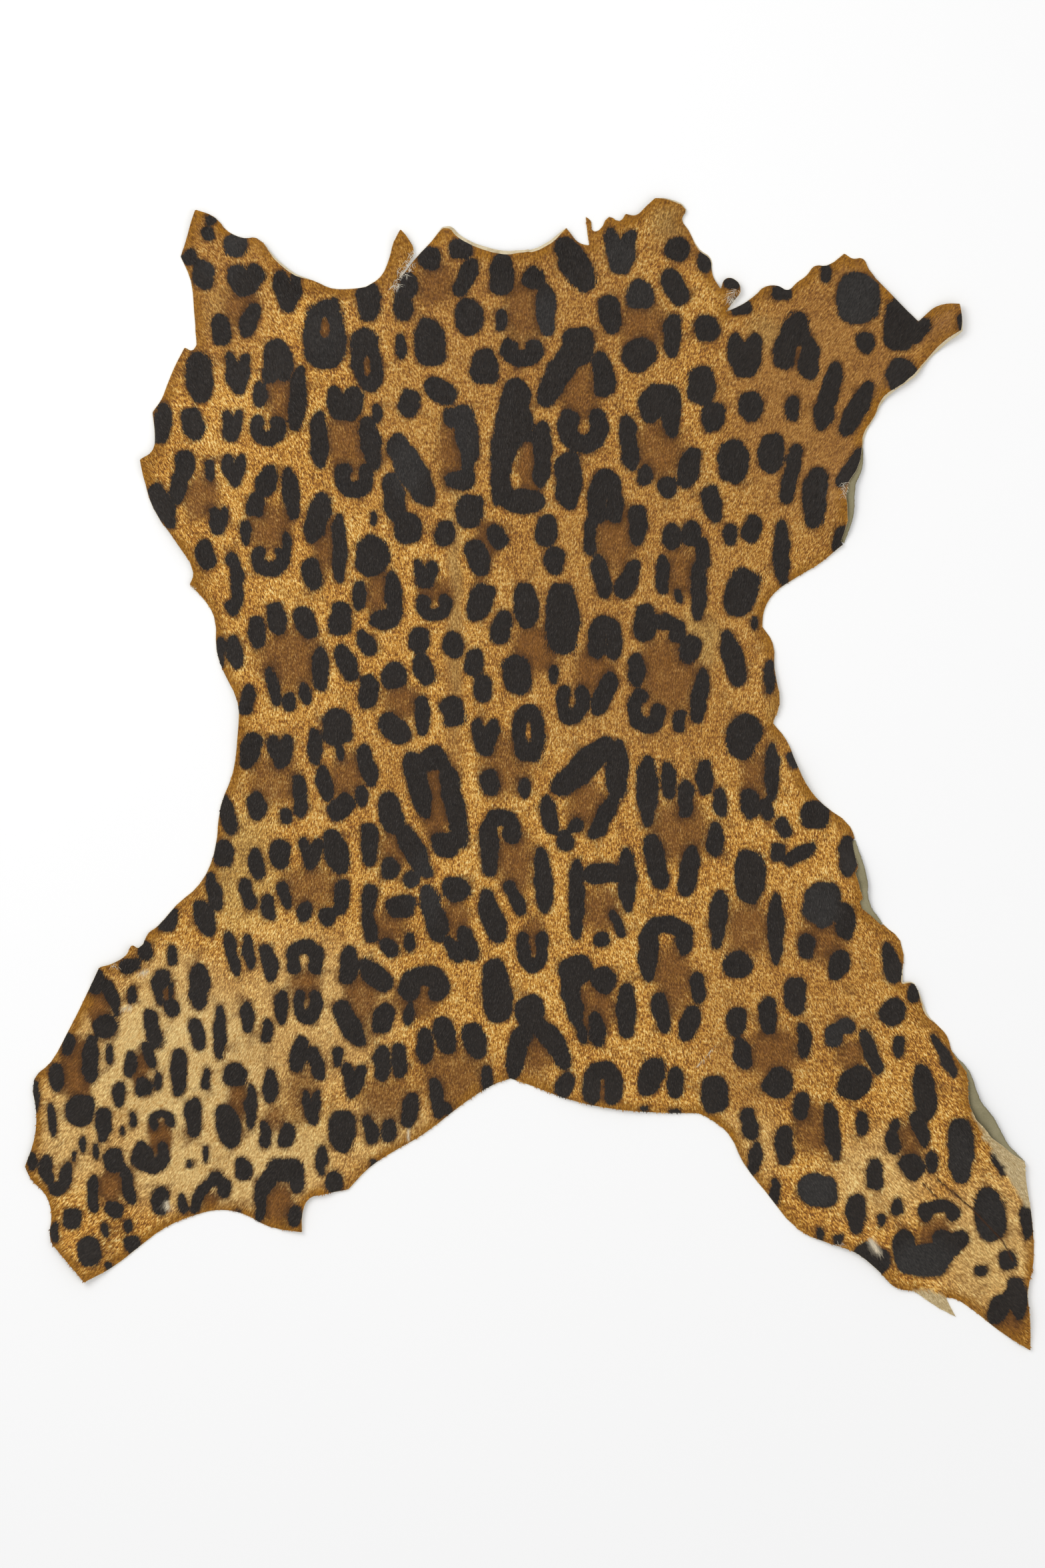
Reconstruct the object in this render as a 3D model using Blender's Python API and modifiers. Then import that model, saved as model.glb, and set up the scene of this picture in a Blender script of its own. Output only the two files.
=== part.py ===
"""A printed calfskin hide, hair side up, laid flat on a floor.

One cut sheet: neck at +Y, tail notch at -Y, the underside on z = 0 except where an edge or a leg lifts.
The outline and the places of the waves are given as (across, down) in units of a 1728-unit long hide,
with across to the right and down towards the tail, so that the sheet is drawn the way that it is seen
from above. UNIT turns them into metres.
"""

import math

import bmesh
import bpy
from mathutils import Vector

# Driving dimensions in metres
LENGTH = 1.08
THICKNESS = 0.003
GRID = 0.018

# How far one unit of the tables is, from the nose edge to the longest hind toe
TOP_ROW = 297
BOTTOM_ROW = 2025
UNIT = LENGTH / (BOTTOM_ROW - TOP_ROW)

# Straight pieces that each curve between two edge points is cut into
CURVE_STEPS = 3
# Points of the edge and of the grid's cuts nearer than this are one point
SNAP = 0.0004

# The cut edge, clockwise from the left foreleg's toe, as smooth stretches of (across, down).
# A sharp corner stands where one stretch ends and the next begins.
EDGE = {
    "left foreleg front": [
        (293, 315), (322, 326), (343, 348), (368, 357), (386, 357), (414, 386), (446, 411),
        (470, 420), (497, 432), (530, 433), (549, 430),
    ],
    "left ear front": [(549, 430), (571, 415), (584, 388), (591, 362), (601, 344)],
    "left ear back": [(601, 344), (613, 358), (621, 377), (611, 397), (592, 427)],
    "neck corner left": [(592, 427), (604, 413), (622, 389), (648, 361), (664, 341)],
    "neck": [(664, 341), (677, 340), (690, 352), (721, 367), (775, 376), (808, 370), (849, 342)],
    "neck notch": [(849, 342), (857, 352), (869, 364), (884, 368)],
    "neck spike": [(884, 368), (881, 350), (878, 325)],
    "right ear front": [
        (878, 325), (887, 332), (889, 346), (899, 345), (914, 325), (930, 331), (939, 320),
    ],
    "right ear": [(939, 320), (954, 322), (968, 310), (982, 297)],
    "throat right": [
        (982, 297), (1001, 298), (1029, 314), (1023, 328), (1033, 345), (1050, 374), (1067, 388),
        (1069, 410), (1082, 434),
    ],
    "torn tuft": [(1082, 434), (1088, 419), (1102, 419), (1112, 436), (1104, 448), (1089, 467)],
    "right foreleg front": [
        (1089, 467), (1113, 456), (1130, 444), (1148, 430), (1168, 429), (1182, 435), (1195, 424), (1210, 413),
        (1222, 399), (1241, 398), (1267, 380),
    ],
    "right foreleg shin": [(1267, 380), (1280, 388), (1295, 388), (1304, 404), (1337, 440), (1378, 482)],
    "right foreleg heel": [(1378, 482), (1398, 465), (1419, 457), (1440, 457)],
    "right foreleg toe": [(1440, 457), (1443, 474), (1444, 497)],
    "right foreleg back": [
        (1444, 497), (1424, 512), (1394, 540), (1371, 568), (1331, 597), (1309, 632), (1296, 658),
        (1293, 700), (1284, 726), (1280, 773), (1265, 816),
    ],
    "right armpit": [(1265, 816), (1232, 844), (1191, 869), (1161, 891), (1147, 915), (1144, 940)],
    "right chest": [(1144, 940), (1160, 965), (1163, 1003), (1170, 1056), (1160, 1084)],
    "right flank": [
        (1160, 1084), (1180, 1110), (1192, 1136), (1210, 1175), (1235, 1206), (1276, 1240),
        (1286, 1272), (1301, 1321), (1303, 1346), (1323, 1384), (1351, 1411), (1355, 1474),
    ],
    "right haunch": [(1355, 1474), (1368, 1473), (1376, 1482), (1384, 1502)],
    "right hind leg outer": [
        (1384, 1502), (1391, 1520), (1405, 1536), (1421, 1554), (1430, 1581), (1449, 1601),
        (1456, 1614), (1468, 1648), (1485, 1670), (1511, 1715), (1521, 1727), (1537, 1742),
    ],
    "right shank": [
        (1537, 1742), (1539, 1770), (1548, 1826), (1551, 1890), (1543, 1938), (1546, 1981),
        (1546, 2025),
    ],
    "right hind leg inner": [(1546, 2025), (1498, 1995), (1451, 1959), (1434, 1949), (1419, 1946)],
    "bare tongue outer": [(1419, 1946), (1427, 1962), (1434, 1975)],
    "bare tongue inner": [(1434, 1975), (1407, 1961), (1372, 1937)],
    "right thigh": [
        (1372, 1937), (1343, 1931), (1322, 1911), (1284, 1880), (1247, 1866), (1199, 1845),
        (1149, 1788), (1115, 1744), (1093, 1701), (1064, 1678), (1048, 1670),
    ],
    "tail edge right": [(1048, 1670), (977, 1669), (913, 1663), (851, 1649), (801, 1630), (766, 1618)],
    "tail edge left": [
        (766, 1618), (743, 1626), (699, 1653), (636, 1701), (593, 1726), (555, 1751), (523, 1784),
    ],
    "left thigh": [(523, 1784), (487, 1792), (466, 1798), (456, 1818), (455, 1848)],
    "left hind leg inner": [
        (455, 1848), (404, 1840), (363, 1820), (331, 1815), (302, 1820), (249, 1841), (208, 1871),
        (167, 1902), (126, 1923),
    ],
    "left hind toe": [(126, 1923), (90, 1880), (76, 1861), (77, 1820), (68, 1792), (46, 1768), (37, 1749)],
    "left hind leg outer": [
        (37, 1749), (50, 1710), (54, 1673), (51, 1619), (76, 1593), (103, 1545), (128, 1495),
        (149, 1450),
    ],
    "left haunch": [
        (149, 1450), (170, 1443), (190, 1430), (198, 1417), (207, 1421), (222, 1399), (236, 1389),
        (265, 1357), (300, 1325), (321, 1280), (331, 1209), (349, 1159), (356, 1100), (356, 1054),
        (335, 1007), (325, 976), (321, 925), (303, 896), (284, 877),
    ],
    "left flank": [(284, 877), (289, 859), (268, 821), (230, 764), (215, 714), (210, 689)],
    "left elbow": [(210, 689), (228, 675), (231, 651), (228, 619)],
    "left foreleg back": [(228, 619), (242, 599), (250, 579), (262, 550), (277, 521)],
    "left foreleg wrist": [(277, 521), (290, 525), (293, 497), (291, 468), (286, 421), (271, 385)],
    "left foreleg shin": [(271, 385), (280, 356), (287, 331), (293, 315)],
}

# Where the sheet stands off the floor: the crest's middle, half its length and half its width in units,
# the way it runs in degrees from across, anticlockwise, and the height of its underside in metres.
WAVES = {
    "neck edge": (776, 352, 130, 62, 0, 0.008),
    "left ear": (602, 352, 58, 48, 90, 0.006),
    "left foreleg front": (428, 388, 110, 52, -38, 0.007),
    "left foreleg toe": (290, 330, 70, 60, 60, 0.005),
    "right ear": (975, 305, 95, 55, 15, 0.006),
    "torn tuft": (1104, 432, 52, 42, 0, 0.006),
    "right foreleg shin": (1345, 440, 80, 45, -45, 0.005),
    "right foreleg toe": (1436, 478, 70, 52, 70, 0.009),
    "right foreleg wrist": (1362, 580, 95, 46, 42, 0.007),
    "right foreleg back": (1270, 746, 100, 38, 78, 0.010),
    "right chest": (1168, 1030, 80, 44, 85, 0.005),
    "right flank": (1204, 1168, 85, 50, -62, 0.008),
    "right belly": (1292, 1330, 85, 36, -72, 0.009),
    "right haunch": (1372, 1486, 60, 48, -60, 0.006),
    "right hind leg outer": (1466, 1670, 140, 44, -57, 0.012),
    "right shank": (1500, 1740, 160, 80, -62, 0.005),
    "right hind toe": (1548, 1960, 90, 52, 90, 0.006),
    "right thigh": (1290, 1884, 130, 48, -33, 0.005),
    "tail edge": (905, 1666, 150, 46, -8, 0.004),
    "left thigh": (470, 1820, 70, 52, 70, 0.006),
    "left hind toe": (112, 1900, 85, 52, -52, 0.006),
    "left hind leg outer": (42, 1690, 120, 50, 80, 0.005),
    "left haunch": (180, 1424, 100, 48, 38, 0.005),
    "left waist": (352, 1080, 120, 46, 90, 0.005),
    "left flank": (258, 820, 110, 50, -58, 0.007),
    "left elbow": (216, 672, 80, 48, 90, 0.006),
    "left shoulder rise": (420, 610, 190, 70, 62, 0.003),
    "right shoulder rise": (1080, 640, 210, 70, 118, 0.003),
    "left hip rise": (350, 1540, 200, 75, 48, 0.004),
    "right hip rise": (1240, 1560, 220, 75, -52, 0.004),
}

# The printed hair's mean colour, straw brown
HAIR_COLOUR = (0.42, 0.25, 0.09, 1.0)
HAIR_ROUGHNESS = 0.62


def place(across, down):
    """A table's point in metres, before the sheet is centred."""
    return Vector((across * UNIT, -down * UNIT, 0.0))


def edge_knots():
    """Each edge point once, with True where two stretches meet in a corner."""
    knots = []
    for stretch in EDGE.values():
        for index, (across, down) in enumerate(stretch[:-1]):
            knots.append((place(across, down), index == 0))
    return knots


def outline_curve():
    """The cut edge as one closed flat curve, filled."""
    data = bpy.data.curves.new("edge", "CURVE")
    data.dimensions = "2D"
    data.fill_mode = "BOTH"
    data.resolution_u = CURVE_STEPS
    spline = data.splines.new("BEZIER")
    knots = edge_knots()
    spline.bezier_points.add(len(knots) - 1)
    for point, (where, corner) in zip(spline.bezier_points, knots):
        point.co = where
        point.handle_left_type = "VECTOR" if corner else "AUTO"
        point.handle_right_type = point.handle_left_type
    spline.use_cyclic_u = True
    return bpy.data.objects.new("edge", data)


def flat_sheet(curve):
    """The filled curve as a mesh: one flat face, facing up."""
    bpy.context.scene.collection.objects.link(curve)
    graph = bpy.context.evaluated_depsgraph_get()
    mesh = bpy.data.meshes.new_from_object(curve.evaluated_get(graph))
    bpy.data.objects.remove(curve)
    sheet = bmesh.new()
    sheet.from_mesh(mesh)
    bpy.data.meshes.remove(mesh)
    bmesh.ops.remove_doubles(sheet, verts=sheet.verts, dist=SNAP)
    inner = [edge for edge in sheet.edges if len(edge.link_faces) > 1]
    bmesh.ops.dissolve_edges(sheet, edges=inner, use_verts=False)
    for face in sheet.faces:
        if face.normal.z < 0:
            face.normal_flip()
    return sheet


def centre(sheet):
    """Moves the sheet's bounding box onto the origin and returns how far it went."""
    across = [vert.co.x for vert in sheet.verts]
    along = [vert.co.y for vert in sheet.verts]
    shift = Vector((-(min(across) + max(across)) / 2, -(min(along) + max(along)) / 2, 0.0))
    bmesh.ops.translate(sheet, verts=sheet.verts, vec=shift)
    return shift


def cut_into_squares(sheet):
    """Cuts the sheet along a square grid, so that it can bend."""
    for axis in (0, 1):
        normal = Vector((0.0, 0.0, 0.0))
        normal[axis] = 1.0
        reach = max(abs(vert.co[axis]) for vert in sheet.verts)
        count = math.ceil(reach / GRID)
        for step in range(-count, count + 1):
            everything = [*sheet.verts, *sheet.edges, *sheet.faces]
            bmesh.ops.bisect_plane(
                sheet, geom=everything, dist=SNAP, plane_co=normal * step * GRID, plane_no=normal
            )
    bmesh.ops.remove_doubles(sheet, verts=sheet.verts, dist=SNAP)
    bmesh.ops.dissolve_degenerate(sheet, edges=sheet.edges, dist=SNAP)


def rise(point, shift):
    """The underside's height at a point: the highest of the waves that reach it."""
    height = 0.0
    for across, down, half_length, half_width, turn, crest in WAVES.values():
        away = point - place(across, down) - shift
        run = Vector((math.cos(math.radians(turn)), math.sin(math.radians(turn)), 0.0))
        along = away.dot(run) / (half_length * UNIT)
        aside = away.cross(run).z / (half_width * UNIT)
        distance = math.hypot(along, aside)
        if distance < 1.0:
            height = max(height, crest * math.cos(distance * math.pi / 2) ** 2)
    return height


def hair_material():
    material = bpy.data.materials.new("printed calf hair")
    material.use_nodes = True
    shader = material.node_tree.nodes["Principled BSDF"]
    shader.inputs["Base Color"].default_value = HAIR_COLOUR
    shader.inputs["Roughness"].default_value = HAIR_ROUGHNESS
    shader.inputs["Metallic"].default_value = 0.0
    return material


def make_hide(collection):
    """The whole skin: the cut outline, bent up along its waves and given its thickness."""
    sheet = flat_sheet(outline_curve())
    shift = centre(sheet)
    cut_into_squares(sheet)
    for vert in sheet.verts:
        vert.co.z = rise(vert.co, shift)
    mesh = bpy.data.meshes.new("hide")
    sheet.to_mesh(mesh)
    sheet.free()
    hide = bpy.data.objects.new("hide", mesh)
    collection.objects.link(hide)
    skin = hide.modifiers.new("thickness", "SOLIDIFY")
    skin.thickness = THICKNESS
    skin.offset = 1.0
    mesh.materials.append(hair_material())
    return hide


def main():
    for old in list(bpy.data.objects):
        bpy.data.objects.remove(old)
    collection = bpy.data.collections.new("printed calfskin hide")
    bpy.context.scene.collection.children.link(collection)
    make_hide(collection)


main()
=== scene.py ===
"""Printed calfskin hide: one skin with its short hair on, screen printed with a leopard print, laid flat."""

import math
import random

import bmesh
import bpy
import numpy as np
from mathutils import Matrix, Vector, kdtree, noise
from mathutils.bvhtree import BVHTree
from mathutils.geometry import delaunay_2d_cdt


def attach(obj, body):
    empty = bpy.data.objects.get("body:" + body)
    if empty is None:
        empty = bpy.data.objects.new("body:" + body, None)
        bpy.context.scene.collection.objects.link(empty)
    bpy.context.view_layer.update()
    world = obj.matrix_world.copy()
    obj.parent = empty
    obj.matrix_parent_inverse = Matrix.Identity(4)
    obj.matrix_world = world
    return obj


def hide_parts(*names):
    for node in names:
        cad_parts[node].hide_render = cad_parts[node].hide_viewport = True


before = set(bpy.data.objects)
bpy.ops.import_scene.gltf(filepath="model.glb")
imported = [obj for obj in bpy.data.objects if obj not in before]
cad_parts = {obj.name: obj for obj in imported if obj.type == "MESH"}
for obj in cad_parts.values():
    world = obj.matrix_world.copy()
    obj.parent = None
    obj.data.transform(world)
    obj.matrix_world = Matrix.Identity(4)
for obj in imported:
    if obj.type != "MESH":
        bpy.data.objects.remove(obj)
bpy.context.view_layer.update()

# The tables below give places on the skin as (across, down) in units of 0.625 mm, as seen from above
# with the neck at the top. MIDDLE is where the part's own origin lies in them.
UNIT = 0.000625
MIDDLE = (794.226, 1160.942)

# Sizes in metres
CAD_THICKNESS = 0.003
LEATHER = 0.0018
THINNEST = 0.0009
HAIR_STEP = 0.0033
FLESH_STEP = 0.009
RIM_STEP = 0.0018
RIM_REACH = 0.03
CUT_LEAN = 0.0003
STRIP_TUCK = 0.012
STRIP_WALL = 0.0012
STRIP_LIFT = 0.0004
LOCKS = 76000  # a square metre, in each layer of hair
FIBRE_WIDTH = 0.00035
UPWARD = 0.3  # the least upward lean of a face of the hair side
STRIP_COLUMNS = 9

# The print, in units: how far its ink is followed, how much it spreads in the hair, how softly spots that
# touch run together, and how far from round they are in shape
NEAR = 24.0
PRINT_SPREAD = 0.5
MELT = 2.5
SQUARENESS = 2.4
EGG = 0.16

# How much the lie of the hair spreads towards the legs, from the row and the line of the spine
SPREAD = 0.9
SPREAD_ROW = 1130
SPREAD_REACH = 820
SPINE = 790

# The print, charted in the skin's own units: black spots as (across, down, wide, tall), with the
# lean in degrees as a fifth column where a spot leans, positive where its top leans right
SPOTS = {
    "left foreleg": [
        (316, 330, 18, 14), (312, 349, 18, 24, -20), (353, 368, 37, 34), (284, 386, 24, 28, -20),
        (306, 413, 34, 46), (332, 496, 28, 48, -8), (375, 480, 27, 54, 20), (487, 503, 65, 105),
        (504, 457, 12, 26, -10), (554, 453, 38, 60, -5), (550, 541, 47, 97, -10), (613, 427, 30, 40, -10),
        (604, 460, 32, 47, -5), (602, 521, 17, 38), (645, 513, 48, 76, -5), (299, 565, 42, 78, -5),
        (447, 600, 27, 102, 5), (391, 591, 21, 41), (243, 635, 30, 62, 10), (290, 636, 33, 52, -15),
        (479, 661, 29, 88), (556, 664, 32, 84, -12), (566, 620, 17, 33), (614, 606, 32, 46, 10),
        (315, 705, 15, 36), (278, 698, 32, 46), (268, 733, 26, 52, 10), (245, 759, 28, 78, -25),
    ],
    "neck": [
        (645, 388, 35, 38), (692, 374, 37, 32), (699, 416, 28, 60, 25), (704, 475, 44, 60),
        (752, 481, 22, 36), (753, 412, 38, 66), (800, 418, 36, 34), (819, 465, 29, 82), (727, 550, 44, 53),
        (863, 397, 45, 90, -30), (1016, 374, 38, 38), (1013, 430, 34, 62, -30), (1057, 394, 24, 32),
        (960, 443, 44, 47), (916, 472, 35, 59, -10), (1009, 504, 29, 70), (959, 532, 54, 50, -35),
        (1060, 494, 41, 42), (842, 555, 40, 125, 28), (868, 520, 50, 60), (905, 562, 35, 72, -8),
        (660, 586, 34, 54, -58), (700, 650, 36, 90, -10), (676, 628, 24, 30), (702, 690, 22, 80),
        (688, 722, 45, 30), (770, 640, 56, 150, 5), (752, 700, 32, 120), (812, 681, 33, 100),
        (785, 752, 66, 38), (944, 664, 28, 85, -5), (976, 610, 36, 50), (1007, 618, 31, 80),
        (990, 592, 40, 30), (1034, 700, 32, 64, 20), (968, 714, 23, 35), (1001, 731, 30, 35),
        (1053, 579, 44, 59), (1069, 626, 38, 48), (853, 722, 41, 88),
    ],
    "right foreleg": [
        (1113, 459, 34, 26), (1098, 425, 24, 20), (1171, 440, 34, 26), (1441, 486, 12, 30),
        (1239, 410, 18, 24), (1287, 447, 67, 78), (1187, 510, 44, 90, 20), (1213, 536, 32, 66),
        (1298, 515, 26, 35), (1350, 488, 50, 80), (1380, 497, 24, 40, 30), (1352, 566, 46, 56, 10),
        (1243, 594, 30, 106, 15), (1286, 613, 30, 95, 30), (1127, 610, 40, 46), (1189, 611, 23, 40),
        (1100, 692, 48, 68), (1157, 680, 41, 60, 10), (1187, 712, 26, 95, 12), (1223, 747, 38, 94, 5),
        (1277, 702, 24, 70, 35), (1035, 703, 30, 66, 12), (1069, 756, 31, 58, -12), (1095, 802, 24, 33),
        (1128, 794, 28, 42, 20), (1173, 829, 25, 98), (1258, 809, 17, 44, 15), (1190, 1140, 20, 28, -20),
        (1113, 888, 50, 75, 20), (1132, 935, 12, 20),
    ],
    "left shoulder": [
        (400, 722, 30, 48, 10), (383, 759, 30, 38), (437, 741, 26, 80, -8), (368, 799, 20, 38),
        (430, 817, 14, 40), (309, 832, 29, 47, -15), (476, 777, 36, 82, 15), (469, 862, 32, 52, -15),
        (509, 822, 25, 105), (561, 777, 12, 24), (591, 747, 32, 80, -8), (612, 793, 42, 48),
        (618, 706, 45, 122, -30), (558, 835, 52, 62), (539, 894, 23, 45), (591, 893, 28, 75, -8),
        (577, 930, 45, 30), (511, 929, 38, 50), (550, 965, 26, 42, -25), (520, 994, 30, 58, -25),
        (386, 949, 25, 52), (415, 929, 30, 50, -12), (459, 935, 33, 52, -20), (481, 1003, 25, 72),
        (411, 1030, 20, 66, -12), (434, 1054, 20, 30), (458, 1040, 19, 34), (353, 979, 26, 52, -15),
        (331, 979, 14, 50), (371, 1050, 25, 50, 12), (553, 1038, 33, 50), (591, 1014, 40, 40),
        (593, 1094, 36, 58, -48), (634, 1073, 24, 64), (629, 959, 32, 38), (636, 1003, 30, 52, -20),
        (507, 1091, 47, 56), (511, 1130, 14, 28), (473, 1120, 24, 56), (377, 1125, 30, 56, 18),
    ],
    "back": [
        (705, 768, 42, 52), (667, 803, 33, 42), (746, 806, 30, 42, -25), (717, 838, 35, 60, -22),
        (820, 797, 33, 46), (831, 841, 32, 45), (886, 803, 22, 62), (957, 789, 30, 66),
        (903, 865, 28, 66, -12), (942, 870, 30, 66, 25), (1008, 805, 30, 40), (1037, 800, 30, 40),
        (1054, 830, 26, 48), (995, 862, 23, 60), (1048, 885, 26, 90), (1017, 894, 13, 20),
        (720, 903, 38, 60, 25), (789, 909, 38, 70, -8), (753, 941, 32, 53, 10), (844, 929, 52, 112),
        (775, 1013, 44, 64, -12), (830, 1012, 14, 30), (679, 967, 31, 43), (711, 994, 31, 44),
        (726, 1033, 31, 44), (679, 1066, 37, 48, -12), (906, 1041, 30, 72, 25), (967, 935, 34, 58),
        (1035, 973, 34, 45, 20), (955, 1006, 25, 52), (1019, 1082, 22, 38), (1050, 1044, 26, 84, 10),
        (793, 1100, 52, 88), (734, 1174, 31, 41), (786, 1181, 19, 34), (1100, 988, 34, 88, -15),
        (1154, 1017, 18, 53), (1116, 1105, 50, 70, 15), (1158, 1158, 23, 86), (1126, 1206, 32, 48, -15),
        (1151, 1212, 20, 36),
    ],
    "left flank": [
        (385, 1209, 28, 42, -15), (450, 1194, 23, 68, -5), (429, 1225, 20, 27), (487, 1175, 24, 55, -12),
        (512, 1210, 48, 32, -50), (551, 1148, 28, 66, -15), (543, 1194, 20, 32), (343, 1224, 23, 58, -15),
        (337, 1280, 28, 46), (385, 1297, 24, 50, -10), (421, 1282, 31, 46), (504, 1277, 36, 68, -15),
        (428, 1344, 19, 46, -18), (457, 1367, 23, 32), (512, 1345, 24, 60, 10), (491, 1376, 30, 28),
        (372, 1341, 22, 54, -18), (403, 1362, 22, 42, -8), (321, 1338, 23, 58, -12),
        (306, 1376, 30, 56, -15), (252, 1379, 32, 40, 15), (217, 1426, 26, 32), (195, 1449, 30, 26, -20),
        (259, 1432, 15, 33), (299, 1479, 32, 70), (349, 1432, 20, 72, -12), (374, 1428, 17, 56, -10),
        (404, 1444, 26, 56, -10), (523, 1447, 28, 62), (563, 1463, 33, 68, -48), (526, 1537, 33, 78, -30),
        (575, 1527, 30, 52, 25), (614, 1522, 17, 34), (555, 1345, 27, 46), (553, 1385, 22, 60, -10),
        (601, 1360, 48, 38), (584, 1420, 25, 38, -45), (614, 1413, 19, 32), (199, 1491, 14, 27),
        (230, 1543, 24, 66, -12), (296, 1550, 21, 50, -12), (331, 1547, 17, 84), (372, 1525, 20, 50),
        (401, 1546, 18, 38), (422, 1511, 20, 55),
    ],
    "loin": [
        (628, 1178, 32, 104, -14), (648, 1138, 44, 38, -20), (680, 1202, 32, 146, -12), (668, 1266, 44, 38),
        (875, 1150, 42, 118, 47), (926, 1154, 33, 92, 3), (906, 1226, 28, 80, 28), (824, 1224, 26, 60, -10),
        (848, 1261, 27, 36), (865, 1238, 24, 24), (735, 1275, 28, 80), (815, 1320, 28, 100, -5),
        (773, 1347, 24, 60, -28), (865, 1350, 26, 125), (941, 1320, 28, 100), (905, 1310, 60, 35),
        (903, 1410, 24, 24), (926, 1385, 16, 45, -25), (971, 1188, 32, 108), (1003, 1171, 25, 58),
        (1029, 1198, 25, 56), (1057, 1166, 27, 55), (1080, 1203, 23, 45), (1073, 1259, 27, 53),
        (984, 1292, 32, 86, -12), (1034, 1306, 30, 80, 10), (1125, 1315, 48, 82), (1078, 1379, 28, 92, 5),
        (1163, 1394, 24, 110), (1106, 1447, 44, 40), (586, 1219, 37, 68, -12), (622, 1278, 32, 88, -28),
        (554, 1268, 28, 68), (586, 1303, 30, 32), (617, 1319, 22, 28), (650, 1370, 35, 90, -15),
        (684, 1335, 45, 40), (738, 1375, 34, 84, -18), (702, 1415, 28, 54, -20), (680, 1424, 23, 42, -35),
    ],
    "rump": [
        (745, 1485, 46, 98, -5), (858, 1490, 31, 110, -10), (874, 1550, 18, 32, -20), (865, 1455, 50, 45),
        (905, 1470, 40, 40), (940, 1515, 30, 85), (896, 1545, 24, 56, -10), (972, 1445, 28, 60),
        (992, 1518, 27, 62, -12), (1047, 1483, 24, 50), (1035, 1535, 30, 55, 15), (795, 1515, 45, 45),
        (789, 1546, 27, 40, 10), (816, 1548, 28, 42, -20), (775, 1580, 30, 80, 8), (835, 1570, 30, 75, -25),
        (848, 1627, 27, 40, 25), (977, 1614, 38, 62, 18), (1013, 1624, 25, 50), (966, 1662, 18, 12),
        (1012, 1668, 18, 12), (1073, 1641, 46, 60), (1105, 1534, 31, 46), (1114, 1580, 29, 48),
        (1152, 1524, 29, 60), (1193, 1494, 35, 58), (1206, 1561, 22, 57), (1168, 1624, 44, 48, 25),
    ],
    "right flank": [
        (1223, 1222, 47, 44), (1175, 1241, 32, 22, 60), (1167, 1277, 24, 32), (1199, 1282, 24, 55, 60),
        (1271, 1285, 27, 62), (1233, 1356, 55, 70, 15), (1268, 1382, 32, 55), (1210, 1419, 27, 38),
        (1257, 1448, 34, 47, 15), (1337, 1444, 28, 62, -15), (1370, 1488, 18, 32),
        (1339, 1517, 45, 38, -50), (1349, 1570, 22, 34), (1416, 1583, 17, 72, -28),
        (1388, 1638, 34, 85, -5), (1251, 1553, 28, 40), (1268, 1540, 30, 25), (1307, 1578, 24, 75, -20),
        (1283, 1624, 56, 46, -50), (1293, 1684, 20, 40),
    ],
    "right hind leg": [
        (1124, 1685, 28, 54, -10), (1133, 1738, 22, 50, 8), (1202, 1659, 25, 44), (1177, 1718, 29, 64),
        (1249, 1697, 25, 90, -8), (1343, 1688, 18, 22), (1340, 1712, 22, 40, -12),
        (1381, 1692, 26, 58, -22), (1368, 1750, 38, 42, -30), (1398, 1744, 19, 36, -8),
        (1441, 1726, 40, 102), (1498, 1744, 17, 42, -22), (1312, 1762, 26, 50), (1227, 1785, 62, 50, 20),
        (1162, 1788, 18, 40), (1284, 1820, 29, 62), (1346, 1810, 17, 28, 10), (1322, 1831, 14, 24),
        (1230, 1850, 14, 20), (1258, 1858, 14, 16), (1485, 1822, 46, 80, -5), (1541, 1832, 18, 56),
        (1385, 1890, 80, 50), (1435, 1865, 30, 45, 40), (1473, 1905, 20, 19), (1511, 1891, 27, 32),
        (1305, 1890, 50, 60, -45), (1497, 1964, 30, 48, 25), (1526, 1947, 30, 62, -8), (1512, 1942, 16, 20),
    ],
    "left thigh": [
        (354, 1612, 38, 38), (376, 1660, 17, 70), (343, 1690, 38, 68, -15), (406, 1629, 25, 50),
        (448, 1582, 28, 56, 12), (475, 1594, 24, 54, -10), (506, 1584, 20, 32), (573, 1594, 27, 54),
        (600, 1591, 26, 54, -5), (637, 1570, 27, 56), (668, 1553, 32, 60, -12), (713, 1562, 33, 58, -15),
        (731, 1618, 22, 40), (656, 1648, 20, 66, -8), (670, 1664, 22, 18), (615, 1665, 24, 54, 8),
        (555, 1694, 25, 46, -20), (584, 1697, 24, 36), (514, 1697, 40, 66), (430, 1703, 26, 40, 20),
        (398, 1703, 18, 42), (482, 1740, 18, 44), (501, 1773, 25, 34), (561, 1745, 14, 16),
        (391, 1800, 20, 70), (442, 1823, 24, 34), (357, 1816, 10, 8),
    ],
    "left hind leg": [
        (245, 1467, 26, 30, -10), (237, 1488, 15, 46, -14), (257, 1511, 24, 30, -10), (259, 1483, 8, 30),
        (197, 1597, 17, 44, 8), (224, 1583, 20, 44, -25), (216, 1630, 28, 31), (216, 1738, 34, 38),
        (71, 1755, 20, 48, -8), (98, 1767, 18, 46, 12), (85, 1783, 26, 20), (428, 1755, 54, 40),
        (400, 1776, 26, 46, 30), (446, 1774, 22, 36), (308, 1781, 17, 40, 38), (143, 1472, 30, 40),
        (168, 1495, 20, 60, -20), (158, 1540, 38, 38), (103, 1568, 18, 35), (85, 1617, 23, 47),
        (136, 1590, 24, 74), (120, 1665, 48, 48, 20), (164, 1582, 13, 31), (236, 1622, 12, 28),
        (269, 1607, 25, 74), (310, 1618, 15, 34), (178, 1643, 19, 38), (55, 1644, 10, 52),
        (80, 1679, 14, 52, -8), (156, 1688, 22, 52), (200, 1679, 11, 24), (184, 1697, 9, 18),
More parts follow.
